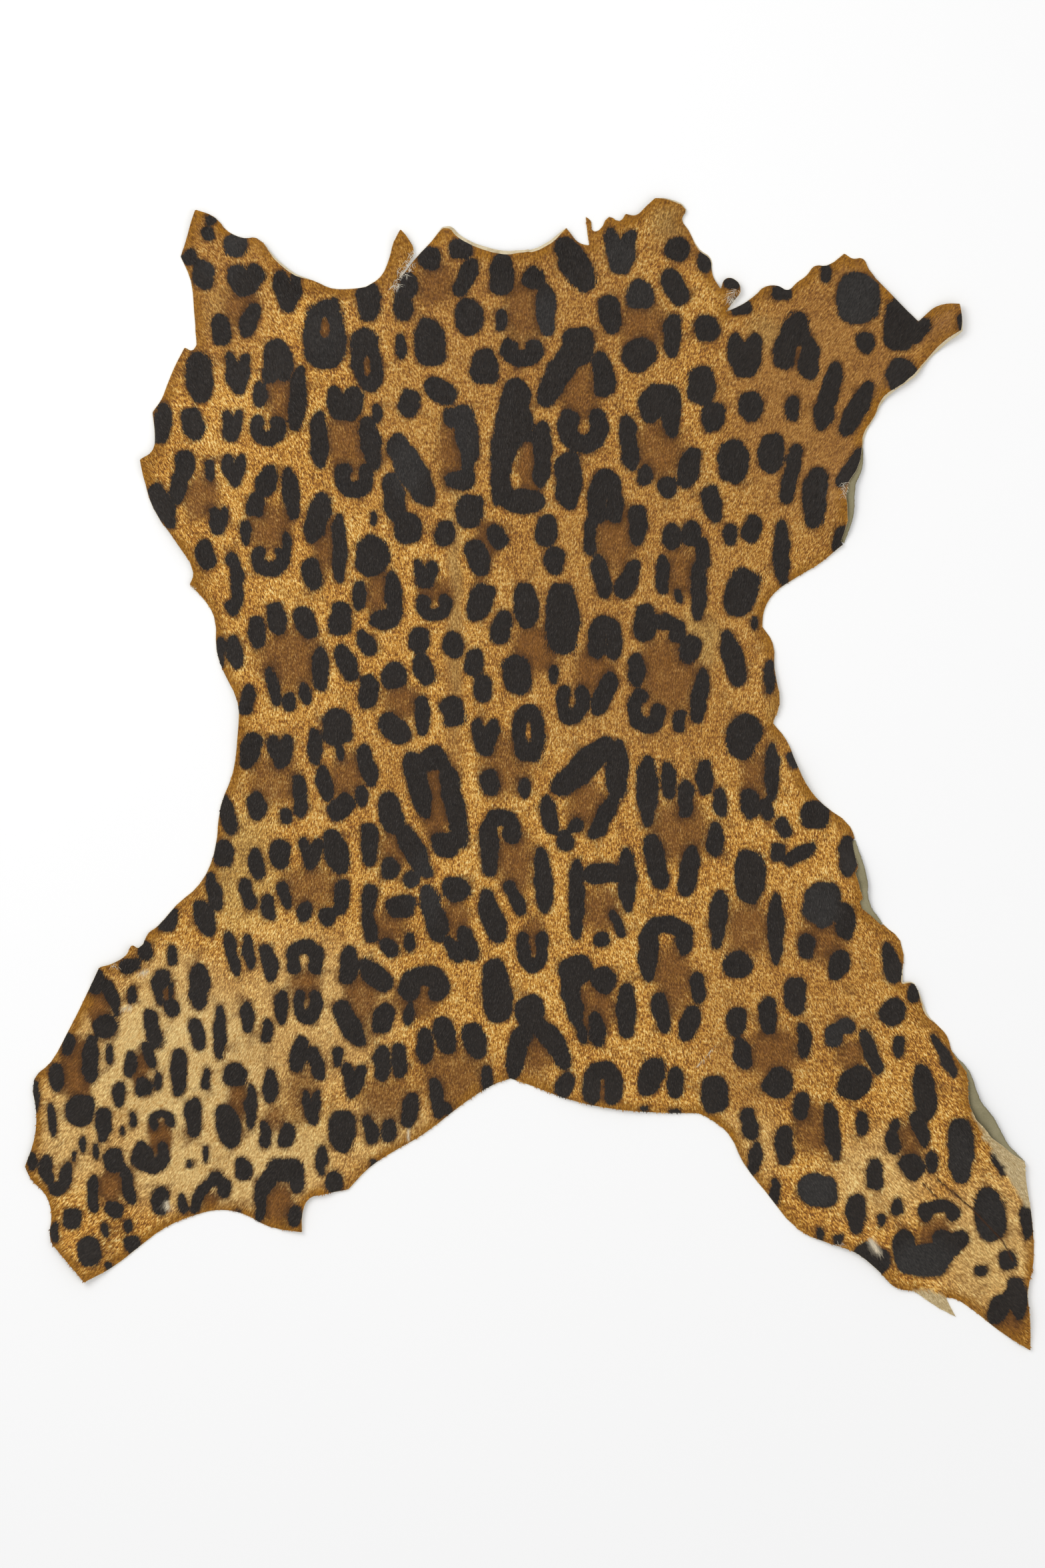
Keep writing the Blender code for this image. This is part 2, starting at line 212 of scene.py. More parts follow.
        (291, 1678, 28, 60), (124, 1717, 10, 25), (145, 1726, 12, 28), (111, 1733, 8, 22),
        (49, 1741, 18, 28), (172, 1740, 32, 40), (192, 1775, 20, 66, -12), (140, 1791, 20, 56),
        (172, 1815, 31, 25), (285, 1747, 12, 14), (308, 1731, 12, 28), (241, 1801, 27, 44),
        (274, 1805, 13, 32), (296, 1800, 18, 45, 15), (325, 1768, 25, 22), (336, 1783, 20, 32),
        (365, 1753, 26, 34), (108, 1827, 28, 33), (83, 1848, 15, 33), (159, 1845, 12, 24),
        (193, 1838, 12, 24), (134, 1877, 33, 48), (199, 1867, 26, 26), (164, 1899, 15, 16),
    ],
}

# Spots with two lobes at the top, and the lobes as shares of the heart's size with their lean
HEARTS = [
    (369, 421, 56, 50), (432, 438, 44, 64), (357, 559, 38, 64), (349, 639, 34, 50), (517, 606, 56, 54),
    (352, 705, 37, 50), (931, 377, 50, 70), (1117, 534, 53, 70), (328, 781, 31, 44), (638, 862, 38, 44),
    (421, 1128, 41, 56), (728, 1105, 42, 58), (466, 1280, 36, 52), (531, 1621, 35, 55), (468, 1662, 29, 52),
]
LOBES = ((-0.23, -0.1, 0.52, 0.8, -8), (0.23, -0.08, 0.52, 0.8, 8), (0, 0.16, 0.72, 0.66, 0))

# Curved bars of a rosette as (across, down, wide, tall, opening, thick), opening being the way that the
# bar's hollow side faces in degrees, 0 to the right and 90 towards the tail
BOWS = [
    (417, 541, 48, 66, 90, 25), (402, 646, 54, 46, 270, 22), (532, 721, 60, 54, 270, 24),
    (783, 529, 66, 44, 270, 26), (875, 647, 78, 70, 270, 30), (405, 843, 58, 47, 270, 21),
    (351, 876, 30, 96, 180, 19), (652, 912, 57, 42, 270, 22), (909, 745, 56, 84, 90, 29),
    (908, 955, 54, 68, 90, 26), (859, 1058, 52, 62, 270, 23), (990, 942, 78, 44, 90, 24),
    (970, 1066, 60, 70, 305, 25), (458, 1435, 58, 53, 90, 22), (462, 1510, 46, 52, 270, 20),
    (752, 1240, 63, 54, 90, 27), (799, 1428, 49, 62, 270, 20), (1000, 1402, 84, 58, 90, 27),
    (637, 1476, 78, 56, 90, 30), (904, 1624, 62, 63, 90, 27), (1408, 1815, 64, 33, 90, 20),
    (1385, 1878, 96, 70, 270, 32), (243, 1678, 40, 30, 90, 14), (228, 1735, 56, 50, 270, 20),
]

# Brown slits and hearts of rosettes, where the black stops, in the same columns as SPOTS
GAPS = [
    (488, 492, 12, 30), (552, 550, 10, 28), (784, 698, 28, 70, 15), (1197, 530, 7, 30, 8),
    (793, 1098, 8, 34), (904, 1634, 8, 30),
]

# Brown washes inside and between the rosettes as (across, down, wide, tall, strength)
WASHES = [
    (359, 459, 45, 50, 0.8), (488, 492, 20, 36, 0.9), (552, 550, 16, 36, 0.9), (425, 590, 45, 80, 0.8),
    (520, 665, 42, 80, 0.8), (300, 745, 40, 50, 0.8), (655, 425, 45, 50, 0.8), (785, 460, 45, 80, 0.8),
    (966, 488, 55, 55, 0.8), (868, 590, 45, 65, 0.8), (676, 675, 30, 80, 0.8), (795, 700, 26, 80, 0.9),
    (990, 672, 55, 60, 0.8), (1197, 530, 14, 36, 0.9), (405, 785, 50, 55, 0.8), (487, 815, 30, 70, 0.8),
    (566, 880, 28, 50, 0.8), (435, 985, 75, 70, 0.8), (602, 1050, 45, 40, 0.8), (655, 885, 40, 30, 0.8),
    (730, 812, 30, 50, 0.8), (925, 805, 45, 80, 0.8), (1022, 855, 35, 60, 0.8), (802, 975, 54, 54, 1.0),
    (890, 1005, 45, 50, 0.9), (1003, 1010, 75, 80, 0.8), (760, 1150, 60, 70, 0.7),
    (1133, 1165, 35, 60, 0.8), (412, 1170, 55, 55, 0.7), (520, 1160, 40, 50, 0.8), (465, 1330, 65, 50, 0.7),
    (458, 1475, 34, 34, 0.8), (543, 1497, 40, 60, 0.8), (580, 1390, 45, 40, 0.8), (655, 1196, 30, 96, 1.0),
    (880, 1205, 45, 60, 0.8), (772, 1290, 45, 70, 0.8), (902, 1362, 40, 50, 0.8), (1020, 1245, 60, 75, 0.8),
    (1120, 1390, 50, 60, 0.8), (592, 1270, 30, 50, 0.8), (685, 1375, 35, 40, 0.8), (800, 1400, 30, 40, 0.8),
    (895, 1510, 50, 60, 0.8), (1008, 1465, 45, 80, 0.8), (625, 1500, 50, 40, 0.8), (805, 1575, 30, 50, 0.8),
    (1160, 1577, 60, 60, 0.8), (1235, 1400, 50, 60, 0.8), (1275, 1580, 35, 35, 0.8),
    (1215, 1690, 40, 60, 0.8), (1365, 1710, 32, 45, 0.8), (1400, 1850, 40, 40, 0.8),
    (1515, 1985, 36, 44, 1.0), (150, 1498, 30, 48, 1.0), (115, 1605, 36, 72, 1.0), (212, 1600, 20, 44, 0.9),
    (240, 1702, 24, 40, 0.9), (251, 1493, 14, 30, 1.0), (355, 1650, 26, 42, 0.9), (455, 1640, 40, 60, 0.6),
    (681, 1612, 70, 70, 0.7), (581, 1650, 60, 50, 0.7), (415, 1675, 30, 30, 0.7), (168, 1775, 35, 40, 0.9),
    (316, 1800, 20, 20, 0.9), (417, 1812, 36, 56, 1.0), (904, 1634, 12, 34, 0.9),
]

# Where the printed side ends in its own cut edge and the flesh side of a curled layer shows beyond it
CURLED_EDGES = {
    "hind_curl": [
        (1429, 1578), (1440, 1594), (1449, 1606), (1452, 1620), (1452, 1643), (1454, 1658), (1464, 1679),
        (1476, 1691), (1487, 1706), (1504, 1718), (1518, 1730), (1537, 1742),
    ],
    "belly_curl": [
        (1279, 1262), (1281, 1275), (1284, 1288), (1288, 1302), (1283, 1308), (1288, 1323), (1291, 1336),
        (1295, 1347), (1290, 1352), (1293, 1362), (1308, 1374), (1322, 1387),
    ],
    "foreleg_curl": [
        (1295, 668), (1290, 693), (1285, 706), (1274, 722), (1269, 743), (1271, 757), (1272, 782),
        (1266, 801), (1262, 812),
    ],
}

# Pale cut leather that shows beyond the hair as (across, down, reach, width in metres)
CUT_BANDS = [
    (690, 352, 34, 0.003), (745, 371, 50, 0.0034), (815, 366, 44, 0.0026), (430, 400, 44, 0.0018),
    (1420, 515, 40, 0.003), (1375, 562, 34, 0.0022), (1335, 600, 26, 0.0026), (1300, 650, 26, 0.0018),
    (1350, 1470, 24, 0.0016), (1388, 1512, 24, 0.002), (1060, 376, 30, 0.0014), (1015, 300, 24, 0.0014),
    (1560, 1940, 26, 0.0014),
]

# Creases and scratches as (across, down, across, down, width in units, depth in metres, pale)
CRACKS = [
    (1385, 1775, 1405, 1795, 1.2, 0.0004, 0.0), (1406, 1768, 1424, 1783, 1.4, 0.0008, 0.0),
    (1424, 1783, 1437, 1794, 2.6, 0.001, 0.0), (1437, 1794, 1455, 1810, 1.4, 0.0008, 0.0),
    (1455, 1810, 1482, 1838, 1.0, 0.0005, 0.0), (1482, 1838, 1504, 1861, 1.0, 0.0005, 0.0),
    (1504, 1861, 1519, 1890, 1.2, 0.0005, 0.0), (1046, 1600, 1072, 1570, 0.8, 0.0002, 1.0),
    (613, 1693, 613, 1708, 1.6, 0.0002, 1.0), (1306, 1860, 1316, 1876, 5.0, 0.0002, 1.0),
    (250, 1803, 254, 1812, 4.0, 0.0002, 1.0), (186, 1512, 196, 1510, 2.4, 0.0002, 1.0),
    (211, 1460, 220, 1457, 2.4, 0.0002, 1.0),
]

# Paler, browner and olive hair, and a painted grey sheen on the black where it would catch the light, as
# (across, down, wide, tall, strength)
TONES = {
    "pale": [
        (270, 1600, 360, 300, 0.95), (330, 1740, 400, 170, 0.9), (120, 1690, 150, 200, 0.6),
        (470, 1520, 260, 260, 0.5), (1480, 1870, 170, 220, 0.6), (1320, 1760, 170, 150, 0.5),
        (1120, 1720, 120, 120, 0.35), (560, 1700, 220, 120, 0.45), (260, 1480, 160, 120, 0.6),
    ],
    "shade": [
        (790, 470, 560, 400, 0.6), (1240, 600, 380, 500, 0.9), (330, 440, 190, 260, 0.6),
        (960, 900, 520, 640, 0.5), (640, 650, 280, 320, 0.45), (1180, 1480, 360, 300, 0.35),
        (1130, 1600, 180, 160, 0.5), (700, 1650, 300, 160, 0.4), (520, 1150, 300, 200, 0.2),
        (680, 960, 34, 460, 0.8), (1425, 500, 150, 150, 1.0), (1040, 350, 150, 130, 0.8),
        (1290, 400, 160, 90, 0.9), (300, 330, 90, 120, 0.8),
    ],
    "olive": [
        (360, 1300, 130, 200, 0.8), (1180, 1050, 60, 120, 0.8), (1050, 960, 70, 110, 0.7),
        (790, 475, 90, 90, 0.5), (1010, 330, 90, 70, 0.6), (1150, 500, 60, 60, 0.5),
        (682, 880, 26, 500, 0.5), (330, 470, 60, 90, 0.3), (1480, 1880, 90, 120, 0.4),
        (470, 1690, 90, 110, 0.4), (1230, 1130, 60, 160, 0.4),
    ],
    "bloom": [
        (1226, 1785, 70, 60, 0.9), (1385, 1890, 110, 70, 0.9), (820, 480, 60, 90, 0.8),
        (610, 700, 60, 100, 0.7), (1287, 447, 80, 90, 0.8), (332, 380, 70, 80, 0.7),
        (640, 1330, 60, 120, 0.6), (1233, 1356, 60, 80, 0.8), (690, 650, 50, 140, 0.5),
        (1441, 1726, 50, 110, 0.5), (960, 443, 60, 60, 0.4), (931, 377, 60, 80, 0.6),
        (1485, 1822, 50, 90, 0.5), (1251, 1553, 60, 60, 0.6), (487, 503, 70, 110, 0.4),
    ],
}

# Hair that the print never reached, beside the right hind leg's curled edge, and the tongue of bare
# leather at the foot of the same leg
UNPRINTED = [
    (1457, 1662), (1464, 1688), (1486, 1724), (1509, 1758), (1531, 1796), (1540, 1812), (1560, 1812),
    (1560, 1730), (1537, 1738), (1510, 1716), (1480, 1688),
]
BARE_TONGUE = [(1366, 1934), (1400, 1936), (1420, 1944), (1438, 1978), (1428, 1988), (1398, 1966)]

# The short hair's layers as (lock length, lock width, lift, seed), and how much the locks stray
LAYERS = {
    "under_hair": (0.0044, 0.0012, 0.07, 3), "lower_hair": (0.0040, 0.0010, 0.09, 4),
    "middle_hair": (0.0037, 0.0009, 0.11, 5), "outer_hair": (0.0034, 0.0008, 0.13, 6),
}
DISORDER = 0.26

# Torn and frayed places: (across, down, reach) of each, root and tip colour, fibres a square metre, length
FRAYS = {
    "torn_tuft_fibres": ([(1103, 438, 5), (1098, 450, 6)], "#8A7354", "#F0E8D6", 700000, 0.008),
    "ear_slit_fibres": (
        [(619, 383, 7), (613, 397, 7), (604, 410, 7), (594, 424, 6)], "#CDBF9E", "#F2EBDA", 900000, 0.006,
    ),
    "foreleg_fibres": ([(1270, 728, 6), (1268, 740, 6), (1113, 446, 4)], "#B7A27C", "#EFE6D2", 600000, 0.006),
    "haunch_fibres": ([(170, 1446, 6), (286, 880, 5), (1259, 1868, 5)], "#8C7A5C", "#E8DEC8", 600000, 0.005),
}
FRAY_LIFT, FRAY_DISORDER, FRAY_SEED = 0.35, 1.2, 7

random.seed(11)
noise.seed_set(11)  # without it the vector noise starts from the clock
rng = np.random.default_rng(11)


def on_skin(rows):
    """(across, down) rows as metres in the part's own frame."""
    rows = np.asarray(rows, dtype=float)
    return np.stack([(rows[:, 0] - MIDDLE[0]) * UNIT, (MIDDLE[1] - rows[:, 1]) * UNIT], 1)


def in_units(points):
    """Metres in the part's own frame as (across, down) rows."""
    return np.stack([points[:, 0] / UNIT + MIDDLE[0], MIDDLE[1] - points[:, 1] / UNIT], 1)


def ease(value, low, high):
    """0 under low, 1 over high and smooth between."""
    share = np.clip((value - low) / (high - low), 0, 1)
    return share * share * (3 - 2 * share)


def rough(points, size, seed):
    """A smooth random height from about -1 to 1 for each point, in features of that size."""
    return np.array([noise.noise(Vector((x / size, y / size, seed))) for x, y in points])


def wandering(points, size, reach, seed):
    """A smooth drift of up to reach for each point, in features of that size."""
    drift = [noise.noise_vector(Vector((x / size, y / size, seed)))[:2] for x, y in points]
    return np.array(drift) * reach


def distance_to(points, others):
    """How far each point is from the nearest of the others."""
    tree = kdtree.KDTree(len(others))
    for k, (x, y) in enumerate(others):
        tree.insert((x, y, 0), k)
    tree.balance()
    return np.array([tree.find((x, y, 0))[2] for x, y in points])


def from_line(p, a, b):
    """How far each point is from the straight line between a and b."""
    d = np.subtract(b, a)
    t = np.clip(((p - a) @ d) / (d @ d), 0, 1)
    return np.hypot(*(p - a - t[:, None] * d).T)


# The skin's outline and height, from a copy of the solid


def solid_copy():
    """A merged copy of the solid's mesh."""
    copy = bmesh.new()
    copy.from_mesh(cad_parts["hide"].data)
    bmesh.ops.remove_doubles(copy, verts=copy.verts, dist=0.00001)
    copy.normal_update()
    return copy


def top_outline(copy):
    """The rim of the solid's upper side as an ordered loop of points, anticlockwise from above."""
    onward = {}
    for face in copy.faces:
        if face.normal.z < UPWARD:
            continue
        for loop in face.loops:
            others = [f for f in loop.edge.link_faces if f is not face]
            if others and others[0].normal.z < UPWARD:
                onward[loop.vert] = loop.link_loop_next.vert
    start = next(iter(onward))
    ring = [start]
    while onward[ring[-1]] is not start:
        ring.append(onward[ring[-1]])
    return without_slivers(np.array([vert.co.xy[:] for vert in ring]))


def without_slivers(ring):
    """The outline without points where it turns right back on itself, which thin faces of the solid leave."""
    while True:
        before, after = ring - np.roll(ring, 1, axis=0), np.roll(ring, -1, axis=0) - ring
        back = np.sum(before * after, axis=1) < -0.96 * np.hypot(*before.T) * np.hypot(*after.T)
        if not back.any():
            return ring
        ring = np.delete(ring, np.argmax(back), axis=0)


def spaced(points, step, closed):
    """The line through the points, with a point about every step."""
    ends = np.vstack([points, points[:1]]) if closed else np.asarray(points)
    run = np.concatenate([[0], np.cumsum(np.hypot(*np.diff(ends, axis=0).T))])
    count = max(2, int(round(run[-1] / step)))
    places = np.linspace(0, run[-1], count + 1)[: count if closed else count + 1]
    return np.stack([np.interp(places, run, ends[:, k]) for k in (0, 1)], 1)


def cut_back(ring):
    """The outline with the curled stretches moved in to the printed side's own edge, and each curled
    stretch as its outline and that edge."""
    strips = {}
    for name, rows in CURLED_EDGES.items():
        rim = spaced(on_skin(rows), RIM_STEP, closed=False)
        first, last = (int(np.argmin(np.hypot(*(ring - end).T))) for end in (rim[0], rim[-1]))
        ring = np.roll(ring, -first, axis=0)
        last = (last - first) % len(ring)
        if last > len(ring) / 2:
            ring = np.roll(ring, -last, axis=0)
            last = len(ring) - last
            rim = rim[::-1]
        strips[name] = (ring[: last + 1].copy(), rim.copy())
        ring = np.vstack([rim, ring[last + 1 :]])
    return ring, strips


def outward(ring):
    """The way out of the skin at each point of an anticlockwise outline."""
    along = np.roll(ring, -3, axis=0) - np.roll(ring, 3, axis=0)
    along /= np.hypot(*along.T)[:, None] + 1e-9
    return np.stack([along[:, 1], -along[:, 0]], 1)


class Heights:
    """How high the skin's underside stands off the floor."""

    def __init__(self, copy):
        faces = [face for face in copy.faces if face.normal.z > UPWARD]
        index = {}
        for face in faces:
            for vert in face.verts:
                index.setdefault(vert, len(index))
        points = [vert.co.copy() for vert in index]
        self.tree = BVHTree.FromPolygons(points, [[index[v] for v in f.verts] for f in faces])

    def at(self, points):
        found = np.zeros(len(points))
        for k, (x, y) in enumerate(points):
            hit = self.tree.ray_cast(Vector((x, y, 1.0)), Vector((0, 0, -1)))[0]
            if hit is None:
                hit = self.tree.find_nearest(Vector((x, y, 0.008)))[0]
            found[k] = hit.z
        return np.maximum(found - CAD_THICKNESS, 0)


def smoothed(values, faces, rounds):
    """Values at the points of a mesh of triangles, evened out along its edges."""
    pairs = np.vstack([faces[:, (0, 1)], faces[:, (1, 2)], faces[:, (2, 0)]])
    a, b = np.unique(np.sort(pairs, axis=1), axis=0).T
    count = np.bincount(a, minlength=len(values)) + np.bincount(b, minlength=len(values))
    for _ in range(rounds):
        total = np.bincount(a, values[b], len(values)) + np.bincount(b, values[a], len(values))
        values = 0.5 * values + 0.5 * total / np.maximum(count, 1)
    return values


def lattice(low, high, step, jitter):
    """A triangular lattice of points over a box."""
    rows = []
    for k, y in enumerate(np.arange(low[1], high[1], step * math.sqrt(3) / 2)):
        x = np.arange(low[0] + (k % 2) * step / 2, high[0], step)
        rows.append(np.stack([x, np.full(len(x), y)], 1))
    points = np.vstack(rows)
    return points + rng.uniform(-jitter * step, jitter * step, points.shape)


def triangulated(ring, inner):
    """The area inside the outline as points and triangles over its own and the inner points, and where the
    outline's points stand among them."""
    flat = [Vector(p) for p in np.vstack([ring, inner])]
    whole = [list(range(len(ring)))]
    points, _, faces, origin, _, within = delaunay_2d_cdt(flat, [], whole, 1, 1e-7, True)
    points = np.array([p[:] for p in points])
    faces = np.array([f for f, part in zip(faces, within) if part])
    used = np.unique(faces)
    index = np.full(len(points), -1)
    index[used] = np.arange(len(used))
    first = np.array([origin[k][0] if origin[k] else len(flat) for k in used])
    order = np.argsort(first, kind="stable")
    place = np.empty(len(order), int)
    place[order] = np.arange(len(order))
    kept = np.searchsorted(first[order], np.arange(len(ring)))
    return points[used][order], place[index[faces]], kept


# The print and the hair's tones at points of the skin


def melted(a, b):
    """The nearer of two distances, with a soft web where the shapes meet."""
    near = np.maximum(MELT - np.abs(a - b), 0) / MELT
    return np.minimum(a, b) - near * near * MELT / 4


def blob(p, across, down, wide, tall, lean=0, egg=0.0):
    """How far points are from a leaning rounded spot, negative inside."""
    turn = math.radians(lean)
    q = p - (across, down)
    along = (q[:, 0] * math.sin(turn) - q[:, 1] * math.cos(turn)) / (tall / 2)
    aside = (q[:, 0] * math.cos(turn) + q[:, 1] * math.sin(turn)) / (wide / 2)
    aside = aside * (1 + egg * np.clip(along, -1.2, 1.2))
    k0 = (np.abs(along) ** SQUARENESS + np.abs(aside) ** SQUARENESS) ** (1 / SQUARENESS) + 1e-6
    k1 = np.hypot(along / (tall / 2), aside / (wide / 2)) + 1e-6
    return k0 * (k0 - 1) / k1


def bow(p, across, down, wide, tall, opening, thick):
    """How far points are from a curved bar that is open on one side, negative inside."""
    angles = np.radians(opening + np.linspace(62, 298, 14))
    line = np.stack([np.cos(angles), np.sin(angles)], 1)
    low, high = line.min(0), line.max(0)
    line = (line - (low + high) / 2) / (high - low) * (wide - thick, tall - thick) + (across, down)
    return np.minimum.reduce([from_line(p, a, b) for a, b in zip(line[:-1], line[1:])]) - thick / 2


def reached(p, row):
    """Which points lie near enough to a charted shape for it to count."""
    reach = max(row[2], row[3]) / 2 + NEAR
    return (np.abs(p[:, 0] - row[0]) < reach) & (np.abs(p[:, 1] - row[1]) < reach)


def ink_at(p):
    """How far each point is from the nearest black of the print, in units, negative inside."""
    p = p + wandering(p, 22, 4.5, 3.1) + wandering(p, 9, 2.0, 7.7)
    ink = np.full(len(p), NEAR)
    rows = [(blob, row) for group in SPOTS.values() for row in group] + [(bow, row) for row in BOWS]
    for across, down, wide, tall in HEARTS:
        for aside, below, width, height, lean in LOBES:
            lobe = (across + aside * wide, down + below * tall, width * wide, height * tall, lean)
            rows.append((blob, lobe))
    for shape, row in rows:
        here = reached(p, row)
        egg = random.uniform(-EGG, EGG)
        gap = blob(p[here], *row, egg=egg) if shape is blob else bow(p[here], *row)
        ink[here] = melted(ink[here], gap)
    for row in GAPS:
        here = reached(p, row)
        ink[here] = np.maximum(ink[here], -blob(p[here], *row))
    return ink


def areas_at(p, rows, core=0.45, end=1.3):
    """Soft patches from a table of (across, down, wide, tall, strength), full out to core half sizes."""
    p = p + wandering(p, 30, 9, 5.3)
    found = np.zeros(len(p))
    for across, down, wide, tall, strength in rows:
        k = np.hypot((p[:, 0] - across) / (wide / 2), (p[:, 1] - down) / (tall / 2))
        found = np.maximum(found, strength * (1 - ease(k, core, end)))
    return found


def cracks_at(p):
    """How deep, how brown and how pale the creases and scratches are at each point."""
    depth, brown, pale = (np.zeros(len(p)) for _ in range(3))
    for x0, y0, x1, y1, width, deep, white in CRACKS:
        gap = from_line(p, (x0, y0), (x1, y1))
        here = 1 - ease(gap, width * 0.4, width * 1.4)
        depth = np.maximum(depth, deep * (1 - ease(gap, width * 0.5, width * 2.5)))
        brown = np.maximum(brown, here * (1 - white))
        pale = np.maximum(pale, here * white)
    return depth, brown, pale


def inside(p, corners):
    """Which points lie inside a small polygon."""
    within = np.zeros(len(p), bool)
    for (x0, y0), (x1, y1) in zip(corners, corners[1:] + corners[:1]):
        crossing = (y0 > p[:, 1]) != (y1 > p[:, 1])
        side = x0 + (p[:, 1] - y0) * (x1 - x0) / (y1 - y0 + 1e-9)
        within ^= crossing & (p[:, 0] < side)
    return within


def lie_at(p):
    """The hair's own coordinates in metres, across and along its lie, and the way it points."""
    row = (p[:, 1] - SPREAD_ROW) / SPREAD_REACH
    side = (p[:, 0] - SPINE) / (1 + SPREAD * row * row)
    flat = np.zeros(len(p))
    way = np.stack([side * 2 * SPREAD * row / SPREAD_REACH, flat - 1, flat], 1)
    way /= np.hypot(way[:, 0], way[:, 1])[:, None]
    way[:, :2] += wandering(p, 60, 0.35, 9.9)
    way /= np.hypot(way[:, 0], way[:, 1])[:, None]
    return np.stack([side * UNIT, p[:, 1] * UNIT, flat], 1), way


def dye(mesh, points, rim):
    """Writes the print, the hair's tones and the painted sheen on the black on a mesh's points, whose
    distances to the cut edge are rim.
    """
    p = in_units(points)
    near = p + wandering(p, 8, 2.0, 2.2)
    layers = {
        "ink": ink_at(p) * UNIT * 1000, "wash": areas_at(p, WASHES, 0.85, 1.85),
        "rim": np.minimum(rim, RIM_REACH) * 1000, "bare": inside(near, UNPRINTED) | inside(near, BARE_TONGUE),
    }
    layers.update((name, areas_at(p, rows)) for name, rows in TONES.items())
    layers["nap"], layers["lie"] = lie_at(p)
    _, layers["crack"], layers["scratch"] = cracks_at(p)
    for name, values in layers.items():
        write(mesh, name, values)


def write(mesh, name, values):
    """Keeps a value or a vector for each of a mesh's points."""
    values = np.asarray(values, dtype=np.float32)
    kind, key = ("FLOAT", "value") if values.ndim == 1 else ("FLOAT_VECTOR", "vector")
    mesh.attributes.new(name, kind, "POINT").data.foreach_set(key, values.ravel())


# The skin


def unevenness(points):
    """The small ups and downs of a tanned skin, in metres."""
    swells = ((0.16, 0.0007), (0.05, 0.0004), (0.016, 0.00022))
    return sum(reach * rough(points, size, size * 91) for size, reach in swells)


def band_width(ring):
    """How far the hair stops short of the cut leather at each point of the outline."""
    width = CUT_LEAN * (1 + 0.6 * wandering(ring / UNIT, 14, 1.0, 4.4)[:, 0])
    p = in_units(ring)
    for across, down, reach, wide in CUT_BANDS:
        near = 1 - ease(np.hypot(p[:, 0] - across, p[:, 1] - down), reach * 0.5, reach)
        width = np.maximum(width, wide * near)
    return sum(np.roll(width, k) for k in range(-4, 5)) / 9


def crack_points():
    """Points along the creases and scratches, for the mesh to follow them."""
    rows = []
    for x0, y0, x1, y1, width, _, _ in CRACKS:
        length = math.hypot(x1 - x0, y1 - y0)
        side = np.array((y1 - y0, x0 - x1)) / length
        for t in np.arange(0, 1.0001, 1.3 / length):
            middle = np.array((x0 + (x1 - x0) * t, y0 + (y1 - y0) * t))
            for away in (-2.5, -1.0, -0.3, 0.3, 1.0, 2.5):
                rows.append(middle + side * width * away)
    return on_skin(rows) + rng.uniform(-0.00004, 0.00004, (len(rows), 2))


def new_mesh(name, points, faces):
    mesh = bpy.data.meshes.new(name)
    mesh.from_pydata([tuple(p) for p in points], [], [tuple(int(k) for k in f) for f in faces])
    return mesh


def new_object(name, data):
    thing = bpy.data.objects.new(name, data)
    bpy.context.scene.collection.objects.link(thing)
    return thing


def skin_meshes(ring, heights):
    """The skin as one closed mesh, its hair side alone for the hair to grow from, and its area."""
    low, high = ring.min(0) - 0.01, ring.max(0) + 0.01
    hair_ring = ring - outward(ring) * band_width(ring)[:, None]
    inner = lattice(low, high, HAIR_STEP, 0.22)
    inner = inner[distance_to(inner, hair_ring) > 0.0016]
    cracks = crack_points()
    inner = np.vstack([inner[distance_to(inner, cracks) > 0.0013], cracks])
    top, top_faces, top_ring = triangulated(hair_ring, inner)
    under = lattice(low, high, FLESH_STEP, 0.25)
    bottom, bottom_faces, bottom_ring = triangulated(ring, under[distance_to(under, ring) > 0.003])
    lift = smoothed(heights.at(top), top_faces, 14) + LEATHER + unevenness(top)
    top_height = np.maximum(lift - cracks_at(in_units(top))[0], THINNEST)
    bottom_height = np.maximum(smoothed(heights.at(bottom), bottom_faces, 2), 0)
    bottom_height[bottom_ring] = np.clip(top_height[top_ring] - LEATHER, 0, None)
    top_points = np.column_stack([top, top_height])
    bottom_points = np.column_stack([bottom, bottom_height])
    rim = []
    bottom_ring = bottom_ring + len(top)
    for k in range(len(ring)):
        onward = (k + 1) % len(ring)
        rim.append((top_ring[k], bottom_ring[k], bottom_ring[onward]))
        rim.append((top_ring[k], bottom_ring[onward], top_ring[onward]))
    rim = [row for row in rim if len(set(row)) == 3]
    faces = np.vstack([top_faces, bottom_faces[:, ::-1] + len(top), np.array(rim)])
    skin = new_mesh("printed_skin", np.vstack([top_points, bottom_points]), faces)
    slots = np.repeat(np.arange(3, dtype=np.int32), [len(top_faces), len(bottom_faces), len(rim)])
    skin.polygons.foreach_set("material_index", slots)
    edge = distance_to(top, hair_ring)
    dye(skin, np.vstack([top, bottom]), np.concatenate([edge, np.zeros(len(bottom))]))
    ground = new_mesh("hair_ground", top_points, top_faces)
    dye(ground, top, edge)
    x, y = ring.T
    return skin, ground, 0.5 * abs(np.sum(x * np.roll(y, -1) - y * np.roll(x, -1)))


